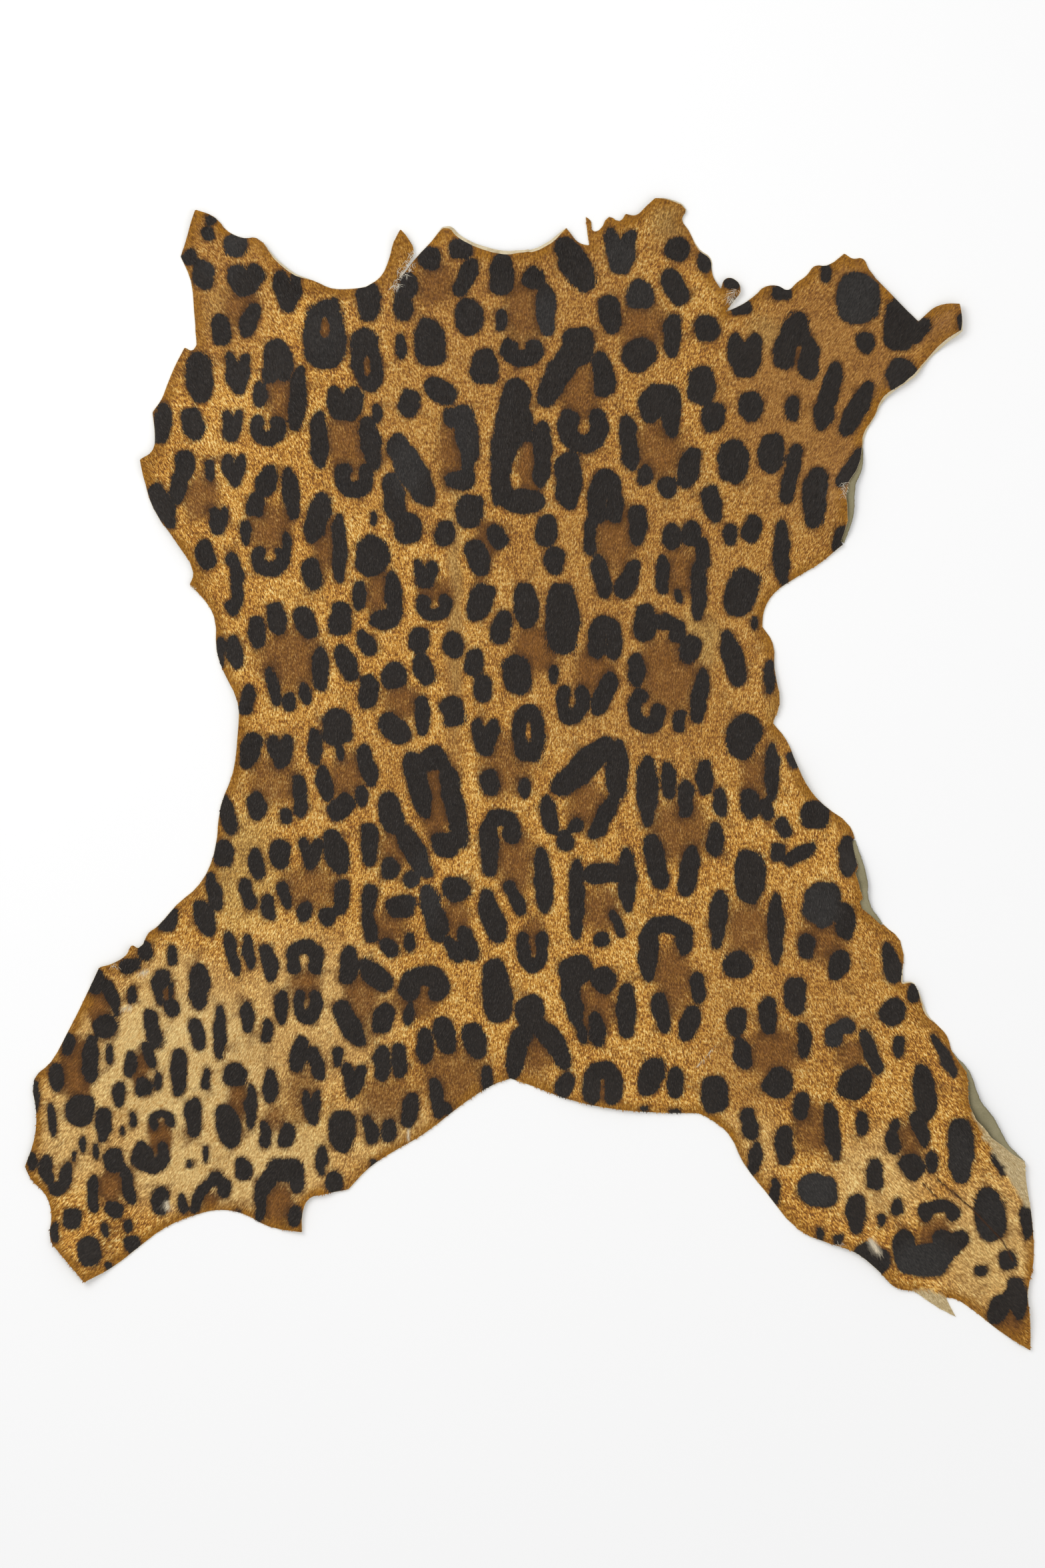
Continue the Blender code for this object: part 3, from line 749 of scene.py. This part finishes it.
def curled_strip(name, outer, rim, heights):
    """A strip of bare flesh side that starts under the printed edge and ends in the skin's outline."""
    count = max(len(outer), len(rim))
    share = np.linspace(0, 1, count)
    outer, rim = (
        np.stack([np.interp(share, np.linspace(0, 1, len(line)), line[:, k]) for k in (0, 1)], 1)
        for line in (outer, rim)
    )
    inward = -outward(outer)
    inward[:4] = inward[4]
    inward[-4:] = inward[-5]
    taper = np.minimum(1, np.minimum(share, 1 - share) * 9)
    start = rim + inward * STRIP_TUCK * taper[:, None]
    outer = outer + outward(outer) * 0.0005 * rough(outer, 1 / 700, 1.0)[:, None]
    highest = STRIP_LIFT + np.maximum(heights.at(rim) - 0.001, 0.0006)
    far_height = heights.at(outer - outward(outer) * 0.0006)
    rows = []
    for t in np.linspace(0, 1, STRIP_COLUMNS):
        where = start * (1 - t) + outer * t
        rise = STRIP_LIFT + (0.4 * far_height + 0.0012) * math.sin(t * math.pi * 0.62) * taper
        rise = np.minimum(rise, highest) + 0.0003 * rough(where, 1 / 90, 6.0)
        rows.append(np.column_stack([where, np.maximum(rise, 0.0002)]))
    faces = []
    for k in range(STRIP_COLUMNS - 1):
        for a in range(k * count, k * count + count - 1):
            faces.append((a, a + count, a + count + 1, a + 1))
    mesh = new_mesh(name, np.vstack(rows), faces)
    if mesh.polygons[len(faces) // 2].normal.z < 0:
        mesh.flip_normals()
    write(mesh, "outer", np.repeat(np.linspace(0, 1, STRIP_COLUMNS), count))
    strip = new_object(name, mesh)
    wall = strip.modifiers.new("thickness", "SOLIDIFY")
    wall.thickness = STRIP_WALL
    wall.offset = 1.0
    return strip


# Nodes


def paint(code):
    """An sRGB hex colour as linear RGBA."""
    parts = [int(code[k : k + 2], 16) / 255 for k in (1, 3, 5)]
    return (*[c / 12.92 if c <= 0.04045 else ((c + 0.055) / 1.055) ** 2.4 for c in parts], 1.0)


def node(tree, kind, *given, out=0, **settings):
    """Adds one node and gives back one of its outputs. A kind in capitals is a sum on numbers. What is given
    goes to the inputs in their order, or by their names or numbers from a dict: a socket is linked, a hex
    colour is painted and anything else is set."""
    made = tree.nodes.new("ShaderNodeMath" if kind.isupper() else kind)
    if kind.isupper():
        made.operation = kind
    for key, value in settings.items():
        setattr(made, key, value)
    inputs = given[0] if given and isinstance(given[0], dict) else dict(enumerate(given))
    for key, value in inputs.items():
        if isinstance(value, bpy.types.NodeSocket):
            tree.links.new(value, made.inputs[key])
        else:
            is_colour = isinstance(value, str) and value.startswith("#")
            made.inputs[key].default_value = paint(value) if is_colour else value
    return made.outputs[out]


MIX, RANGE, ATTRIBUTE = "ShaderNodeMix", "ShaderNodeMapRange", "ShaderNodeAttribute"
COLOURS = {"data_type": "RGBA", "out": 2}
SMOOTH = {"interpolation_type": "SMOOTHSTEP"}

# Geometry Nodes: short hair that lies over a mesh


def nap_tree():
    """Locks of hair as narrow bent blades of two faces, turned the way that the hair lies."""
    tree = bpy.data.node_groups.new("nap of short hair", "GeometryNodeTree")
    for name, kind in {
        "Skin": "Geometry", "Locks per square metre": "Float", "Lock length": "Float", "Lock width": "Float",
        "Lift": "Float", "Disorder": "Float", "Seed": "Int", "Hair": "Material",
    }.items():
        tree.interface.new_socket(name, in_out="INPUT", socket_type="NodeSocket" + kind)
    tree.interface.new_socket("Hair over the skin", in_out="OUTPUT", socket_type="NodeSocketGeometry")
    sizes = tree.nodes.new("NodeGroupInput").outputs[:8]
    skin, density, lock_length, lock_width, lift, disorder, seed, hair = sizes
    chance, single = "FunctionNodeRandomValue", {"data_type": "FLOAT", "out": 1}
    read, keep = "GeometryNodeInputNamedAttribute", "GeometryNodeStoreNamedAttribute"

    # One blade, a unit long and wide, narrowing to its tip and arched
    blade = node(tree, "GeometryNodeMeshGrid", 1, 1, 2, 3)
    place = node(tree, "GeometryNodeInputPosition")
    x, y = (node(tree, "ShaderNodeSeparateXYZ", place, out=axis) for axis in "XY")
    tip = node(tree, "ADD", y, 0.5)
    across = node(tree, "MULTIPLY", x, node(tree, "MULTIPLY_ADD", tip, -0.85, 1.0))
    arch = node(tree, "MULTIPLY", tip, node(tree, "SUBTRACT", 1.15, tip))
    bent = node(tree, "ShaderNodeCombineXYZ", across, tip, arch)
    blade = node(tree, "GeometryNodeSetPosition", {"Geometry": blade, "Position": bent})
    blade = node(tree, keep, {"Geometry": blade, "Name": "tip", "Value": tip}, domain="POINT")

    # Where the blades stand, how they lie and how long they are, shorter at the cut edge
    roots = node(
        tree, "GeometryNodeDistributePointsOnFaces", {"Mesh": skin, "Density": density, "Seed": seed},
    )
    lie = node(tree, read, "lie", data_type="FLOAT_VECTOR")
    facing = node(tree, "FunctionNodeAlignRotationToVector", {"Vector": lie}, axis="Y")
    swing = node(tree, "MULTIPLY", disorder, -1.0)
    yaw = node(tree, chance, {"Min": swing, "Max": disorder}, **single)
    roll = node(tree, chance, {"Min": -0.5, "Max": 0.5, "Seed": 5}, **single)
    turn = node(tree, "FunctionNodeEulerToRotation", node(tree, "ShaderNodeCombineXYZ", lift, roll, yaw))
    turned = node(tree, "FunctionNodeRotateRotation", facing, turn, rotation_space="LOCAL")
    vary = node(tree, chance, {"Min": 0.65, "Max": 1.35, "Seed": 8}, **single)
    short = node(tree, RANGE, node(tree, read, "rim", data_type="FLOAT"), 0.0, 6.0, 0.4)
    length = node(tree, "MULTIPLY", node(tree, "MULTIPLY", vary, short), lock_length)
    width = node(tree, "MULTIPLY", vary, lock_width)
    size = node(tree, "ShaderNodeCombineXYZ", width, length, node(tree, "MULTIPLY", length, 0.22))
    locks = node(
        tree, "GeometryNodeInstanceOnPoints",
        {"Points": roots, "Instance": blade, "Rotation": turned, "Scale": size},
    )
    tone = node(tree, chance, {"Seed": 21}, **single)
    locks = node(tree, keep, {"Geometry": locks, "Name": "tone", "Value": tone}, domain="INSTANCE")

    # The print under each blade, read from the skin's own attributes
    locks = node(tree, "GeometryNodeRealizeInstances", locks)
    for name, kind in (("ink", "FLOAT"), ("nap", "FLOAT_VECTOR")):
        below = node(tree, read, name, data_type=kind)
        found = node(tree, "GeometryNodeSampleNearestSurface", {"Mesh": skin, "Value": below}, data_type=kind)
        print_on = {"Geometry": locks, "Name": name, "Value": found}
        locks = node(tree, keep, print_on, data_type=kind, domain="POINT")
    dyed = node(tree, "GeometryNodeSetMaterial", {"Geometry": locks, "Material": hair})
    tree.links.new(dyed, tree.nodes.new("NodeGroupOutput").inputs[0])
    return tree


def grown(name, ground, tree, hair, **sizes):
    """Hair over a ground mesh, as a plain mesh. sizes are the tree's other inputs by name."""
    bed = new_object(name + "_bed", ground)
    growth = bed.modifiers.new("nap", "NODES")
    growth.node_group = tree
    sockets = {item.name: item.identifier for item in tree.interface.items_tree if item.in_out == "INPUT"}
    growth[sockets["Hair"]] = hair
    for key, value in sizes.items():
        growth[sockets[key.replace("_", " ")]] = value
    mesh = bpy.data.meshes.new_from_object(bed.evaluated_get(bpy.context.evaluated_depsgraph_get()))
    mesh.name = name
    bed.modifiers.clear()
    bpy.data.objects.remove(bed)
    if not mesh.materials:
        mesh.materials.append(hair)
    return new_object(name, mesh)


def patch_of(ground, spots):
    """The part of a ground mesh within reach of a few (across, down, reach) spots."""
    patch = bmesh.new()
    patch.from_mesh(ground)
    centres = [(*on_skin([row[:2]])[0], row[2] * UNIT) for row in spots]
    far = [
        f for f in patch.faces
        if all(math.hypot(f.verts[0].co.x - x, f.verts[0].co.y - y) > r for x, y, r in centres)
    ]
    bmesh.ops.delete(patch, geom=far, context="FACES")
    mesh = bpy.data.meshes.new("patch")
    patch.to_mesh(mesh)
    patch.free()
    return mesh


# Materials


def finish(name, **values):
    """A new material with its tree and its shader's inputs. values are set on the shader, by input name."""
    material = bpy.data.materials.new(name)
    material.use_nodes = True
    inputs = material.node_tree.nodes["Principled BSDF"].inputs
    for key, value in values.items():
        inputs[key.replace("_", " ")].default_value = paint(value) if isinstance(value, str) else value
    return material, material.node_tree, inputs


def grain(tree, vector, across, along, detail=2.0):
    """Noise in flecks of a size in metres, 0 to 1 with its mean at a half."""
    scale = (1 / across, 1 / along, 1 / along)
    stretched = node(tree, "ShaderNodeVectorMath", vector, scale, operation="MULTIPLY")
    settings = {"Vector": stretched, "Scale": 1.0, "Detail": detail, "Roughness": 0.55}
    return node(tree, "ShaderNodeTexNoise", settings, out="Fac")


def printed_hair():
    """Calf hair, 8 mm long and lying flat, bleached straw gold and screen printed: short fibres with a
    satin sheen along them, gold where they catch the light and brown in the partings, with black spots
    whose edges are as frayed as the hair and a browner dye band along the cut edge."""
    material, tree, shader = finish(
        "printed calf hair", Roughness=0.5, Specular_IOR_Level=0.2,
        Sheen_Weight=0.04, Sheen_Roughness=0.4, Sheen_Tint="#FFE9C0",
    )
    nap = node(tree, ATTRIBUTE, attribute_name="nap", out="Vector")
    layers = "tone tip ink shade olive pale wash rim bloom bare crack scratch".split()
    tone, tip, ink, shade, olive, pale, wash, rim, bloom, bare, crack, scratch = (
        node(tree, ATTRIBUTE, attribute_name=name, out="Fac") for name in layers
    )
    fleck = grain(tree, nap, 0.0012, 0.0030)
    strands = grain(tree, nap, 0.0006, 0.0045)
    mottle = grain(tree, nap, 0.007, 0.011, 3.0)
    clump = grain(tree, nap, 0.005, 0.010, 3.0)
    stain = grain(tree, nap, 0.018, 0.022, 3.0)
    cloud = grain(tree, nap, 0.035, 0.06, 3.0)

    # How light each hair is, 0 in the partings and 1 where the light catches it
    light = node(tree, "MULTIPLY_ADD", fleck, 1.6, -0.3)
    for part, share in ((tone, 0.14), (clump, 0.6), (cloud, 0.45), (strands, 0.5)):
        light = node(tree, "ADD", light, node(tree, "MULTIPLY_ADD", part, share, -share / 2))
    light = node(tree, "MULTIPLY_ADD", tip, 0.08, light)
    ramp = node(tree, "ShaderNodeValToRGB", light)
    stops = ramp.node.color_ramp.elements
    stops[0].position, stops[0].color = 0.20, paint("#7A4A1A")
    stops[1].position, stops[1].color = 0.90, paint("#FFE59C")
    for position, colour in ((0.38, "#AA7029"), (0.52, "#D29336"), (0.68, "#F2BE5E")):
        stops.new(position).color = paint(colour)

    # The brown washes, the dye band along the rim, and the frayed edge of the black with its halo
    stain = node(tree, "MULTIPLY", node(tree, RANGE, stain, 0.52, 0.72, **SMOOTH), 0.45)
    wash = node(tree, "MAXIMUM", wash, stain)
    wash = node(tree, "MULTIPLY", wash, node(tree, "MULTIPLY_ADD", fleck, -0.9, 1.5))
    wash = node(tree, "MULTIPLY", wash, node(tree, "MULTIPLY_ADD", mottle, 1.0, 0.65))
    wash = node(tree, "MINIMUM", wash, 1.0)
    ragged = node(tree, "ADD", rim, node(tree, "MULTIPLY_ADD", mottle, 12.0, -6.0))
    band = node(tree, RANGE, ragged, 2.0, 13.0, 1.0, 0.0, **SMOOTH)
    band = node(tree, "MULTIPLY", band, node(tree, RANGE, cloud, 0.36, 0.58, 0.65, 1.0, **SMOOTH))
    fray = node(tree, "ADD", node(tree, "MULTIPLY_ADD", fleck, 2.8, -1.4), -0.35)
    fray = node(tree, "MULTIPLY_ADD", tone, 0.7, fray)
    edge = node(tree, "ADD", ink, node(tree, "ADD", fray, PRINT_SPREAD))
    deepened = node(tree, "MULTIPLY", wash, node(tree, RANGE, edge, 0.0, 8.0, 0.7, 0.0, **SMOOTH))
    halo = node(tree, RANGE, edge, -0.4, 4.0, 0.85, 0.0, **SMOOTH)
    black = node(tree, RANGE, edge, -0.6, 0.8, 1.0, 0.0, **SMOOTH)
    # Painted sheen: where it is given, the black is mixed towards grey as if it caught the light
    bloom = node(tree, "MULTIPLY", bloom, 0.55)
    inks = [
        node(tree, MIX, {0: bloom, 6: ink, 7: grey}, **COLOURS)
        for ink, grey in (("#1B1613", "#2B2A29"), ("#342D27", "#4C4A48"))
    ]

    # Each dye over the ones before it, as its share and its colour on dark and on light hair
    ground = ramp
    for share, dark, bright in (
        (node(tree, "MULTIPLY", shade, 0.95), "#71441A", "#C48C44"),
        (node(tree, "MULTIPLY", olive, 0.5), "#94762F", "#DCC27C"),
        (pale, "#C48C38", "#FFE6A2"), (wash, "#5E3812", "#A06A2A"), (band, "#663A06", "#BE821E"),
        (deepened, "#4E3010", "#4E3010"), (halo, "#5E3A14", "#5E3A14"), (black, *inks),
        (bare, "#A88C58", "#E2CDA0"), (crack, "#4A2C12", "#4A2C12"), (scratch, "#DCCDB0", "#DCCDB0"),
    ):
        dye_colour = node(tree, MIX, {0: light, 6: dark, 7: bright}, **COLOURS)
        ground = node(tree, MIX, {0: share, 6: ground, 7: dye_colour}, **COLOURS)
    # Painted shade at the roots: each lock darker towards its root, and the skin between the locks, which has
    # no tip, darkest
    deep = node(tree, RANGE, tip, 0.0, 0.5, 0.84, 1.0, **SMOOTH)
    root = node(tree, "ShaderNodeCombineColor", deep, deep, deep)
    ground = node(tree, MIX, {0: 1.0, 6: ground, 7: root}, blend_type="MULTIPLY", **COLOURS)
    tree.links.new(ground, shader["Base Color"])
    relief = node(tree, "ADD", node(tree, "MULTIPLY", strands, 0.4), node(tree, "MULTIPLY", fleck, 0.6))
    bump = node(tree, "ShaderNodeBump", {"Height": relief, "Strength": 0.3, "Distance": 0.0004})
    tree.links.new(bump, shader["Normal"])
    return material


def flesh_side(name, roughness, sheen, nap_size, cloud_size, detail, share, dark, bright, borders=()):
    """The tanned flesh side, shaved and buffed like suede: matt, with a short nap, veins and cloudy stains.
    dark and bright may be darkened to make a shaded copy, and borders are darker bands across a curled edge,
    such as painted shadow under the printed edge, as (from, to, share there, share beyond, colour)."""
    material, tree, shader = finish(
        name, Roughness=roughness, Specular_IOR_Level=0.15, Sheen_Weight=sheen, Sheen_Roughness=0.6,
    )
    place = node(tree, "ShaderNodeTexCoord", out="Object")
    nap = grain(tree, place, nap_size, nap_size, 3.0)
    cloud = grain(tree, place, cloud_size, cloud_size, detail)
    tone = node(tree, "MULTIPLY_ADD", cloud, 0.7, node(tree, "MULTIPLY_ADD", nap, share, 0.15 - share / 2))
    colour = node(tree, MIX, {0: tone, 6: dark, 7: bright}, **COLOURS)
    for low, high, to_low, to_high, grey in borders:
        outer = node(tree, ATTRIBUTE, attribute_name="outer", out="Fac")
        reach = node(tree, RANGE, outer, low, high, to_low, to_high, **SMOOTH)
        colour = node(tree, MIX, {0: reach, 6: colour, 7: grey}, **COLOURS)
    tree.links.new(colour, shader["Base Color"])
    bump = node(tree, "ShaderNodeBump", {"Height": nap, "Strength": 0.5, "Distance": 0.0004})
    tree.links.new(bump, shader["Normal"])
    return material


def cut_edge():
    """The knife cut through the leather: pale cream fibres, matt."""
    material, tree, shader = finish("cut edge of the leather", Roughness=0.85, Specular_IOR_Level=0.2)
    place = node(tree, "ShaderNodeTexCoord", out="Object")
    fibres = grain(tree, place, 0.0009, 0.0009)
    cloud = grain(tree, place, 0.012, 0.012, 3.0)
    colour = node(tree, MIX, {0: fibres, 6: "#B9A57C", 7: "#E9DDC0"}, **COLOURS)
    stained = node(tree, RANGE, cloud, 0.5, 0.75, 0.0, 0.5, **SMOOTH)
    colour = node(tree, MIX, {0: stained, 6: colour, 7: "#8E7444"}, **COLOURS)
    tree.links.new(colour, shader["Base Color"])
    return material


def fibre_hair(name, dark, bright):
    """Loose unprinted fibres at a torn place: soft, matt and lighter towards the tips."""
    material, tree, shader = finish(name, Roughness=0.7)
    tip, tone = (node(tree, ATTRIBUTE, attribute_name=name, out="Fac") for name in ("tip", "tone"))
    share = node(tree, "MULTIPLY_ADD", tip, 0.5, node(tree, "MULTIPLY", tone, 0.6))
    tree.links.new(node(tree, MIX, {0: share, 6: dark, 7: bright}, **COLOURS), shader["Base Color"])
    return material


# Building


solid = solid_copy()
outline = spaced(top_outline(solid), RIM_STEP, closed=True)
heights = Heights(solid)
solid.free()
outline, strips = cut_back(outline)
skin_mesh, ground_mesh, skin_area = skin_meshes(outline, heights)
hair = printed_hair()
flesh = flesh_side("buffed flesh side", 0.92, 0.25, 0.0011, 0.05, 4.0, 0.5, "#A3916A", "#DCCDA8")
for coat in (hair, flesh, cut_edge()):
    skin_mesh.materials.append(coat)
skin = new_object("printed_skin", skin_mesh)

# The same flesh side where it is curled up at the edge, olive and darkened as painted shade, with painted
# shadow along its inner side under the printed edge and a darker band at its outer edge
shaded = flesh_side(
    "greyed flesh side", 0.9, 0.15, 0.001, 0.016, 3.0, 0.6, "#6E6748", "#A89F80",
    ((0.35, 0.8, 0.75, 0.0, "#4E482E"), (0.93, 1.0, 0.0, 0.6, "#5A5338")),
)
curls = [curled_strip(name, outer, rim, heights) for name, (outer, rim) in strips.items()]
for strip in curls:
    strip.data.materials.append(shaded)

nap_group = nap_tree()
locks = []
for name, (length, width, lift, seed) in LAYERS.items():
    locks.append(grown(
        name, ground_mesh, nap_group, hair, Locks_per_square_metre=LOCKS,
        Lock_length=length, Lock_width=width, Lift=lift, Disorder=DISORDER, Seed=seed,
    ))
for name, (spots, dark, bright, density, length) in FRAYS.items():
    fibre = fibre_hair(name.replace("_", " "), dark, bright)
    locks.append(grown(
        name, patch_of(ground_mesh, spots), nap_group, fibre, Locks_per_square_metre=density,
        Lock_length=length, Lock_width=FIBRE_WIDTH, Lift=FRAY_LIFT, Disorder=FRAY_DISORDER, Seed=FRAY_SEED,
    ))

# How the pieces stand for the solid
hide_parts("hide")
for piece in (skin, *curls, *locks):
    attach(piece, "root")

# The stage: a white floor, a soft even sky and two broad lamps, and the camera straight above
FRAME_MIDDLE = (784, 1176)
FRAME_HEIGHT = 2352

bpy.ops.mesh.primitive_plane_add(size=9)
floor = bpy.context.object
floor.name = "floor"
paper = finish("white paper floor", Base_Color="#FCFCFC", Roughness=0.9, Specular_IOR_Level=0.1)[0]
floor.data.materials.append(paper)

world = bpy.data.worlds.new("studio")
bpy.context.scene.world = world
world.use_nodes = True
world.node_tree.nodes["Background"].inputs["Color"].default_value = (1, 1, 1, 1)
world.node_tree.nodes["Background"].inputs["Strength"].default_value = 0.62
for name, place, size, power in (("key", (-1.6, 1.4, 2.6), 2.0, 46), ("fill", (1.8, -0.6, 2.8), 2.4, 16)):
    lamp = bpy.data.lights.new(name, "AREA")
    lamp.size = size
    lamp.energy = power
    stand = new_object(name, lamp)
    stand.location = place
    stand.rotation_euler = (-Vector(place)).to_track_quat("-Z", "Y").to_euler()

lens = bpy.data.cameras.new("camera")
lens.lens = 150
lens.sensor_width = 36
lens.clip_end = 60
camera = new_object("camera", lens)
camera.location = (*on_skin([FRAME_MIDDLE])[0], FRAME_HEIGHT * UNIT * lens.lens / lens.sensor_width)
bpy.context.scene.camera = camera
bpy.context.scene.view_settings.view_transform = "Standard"
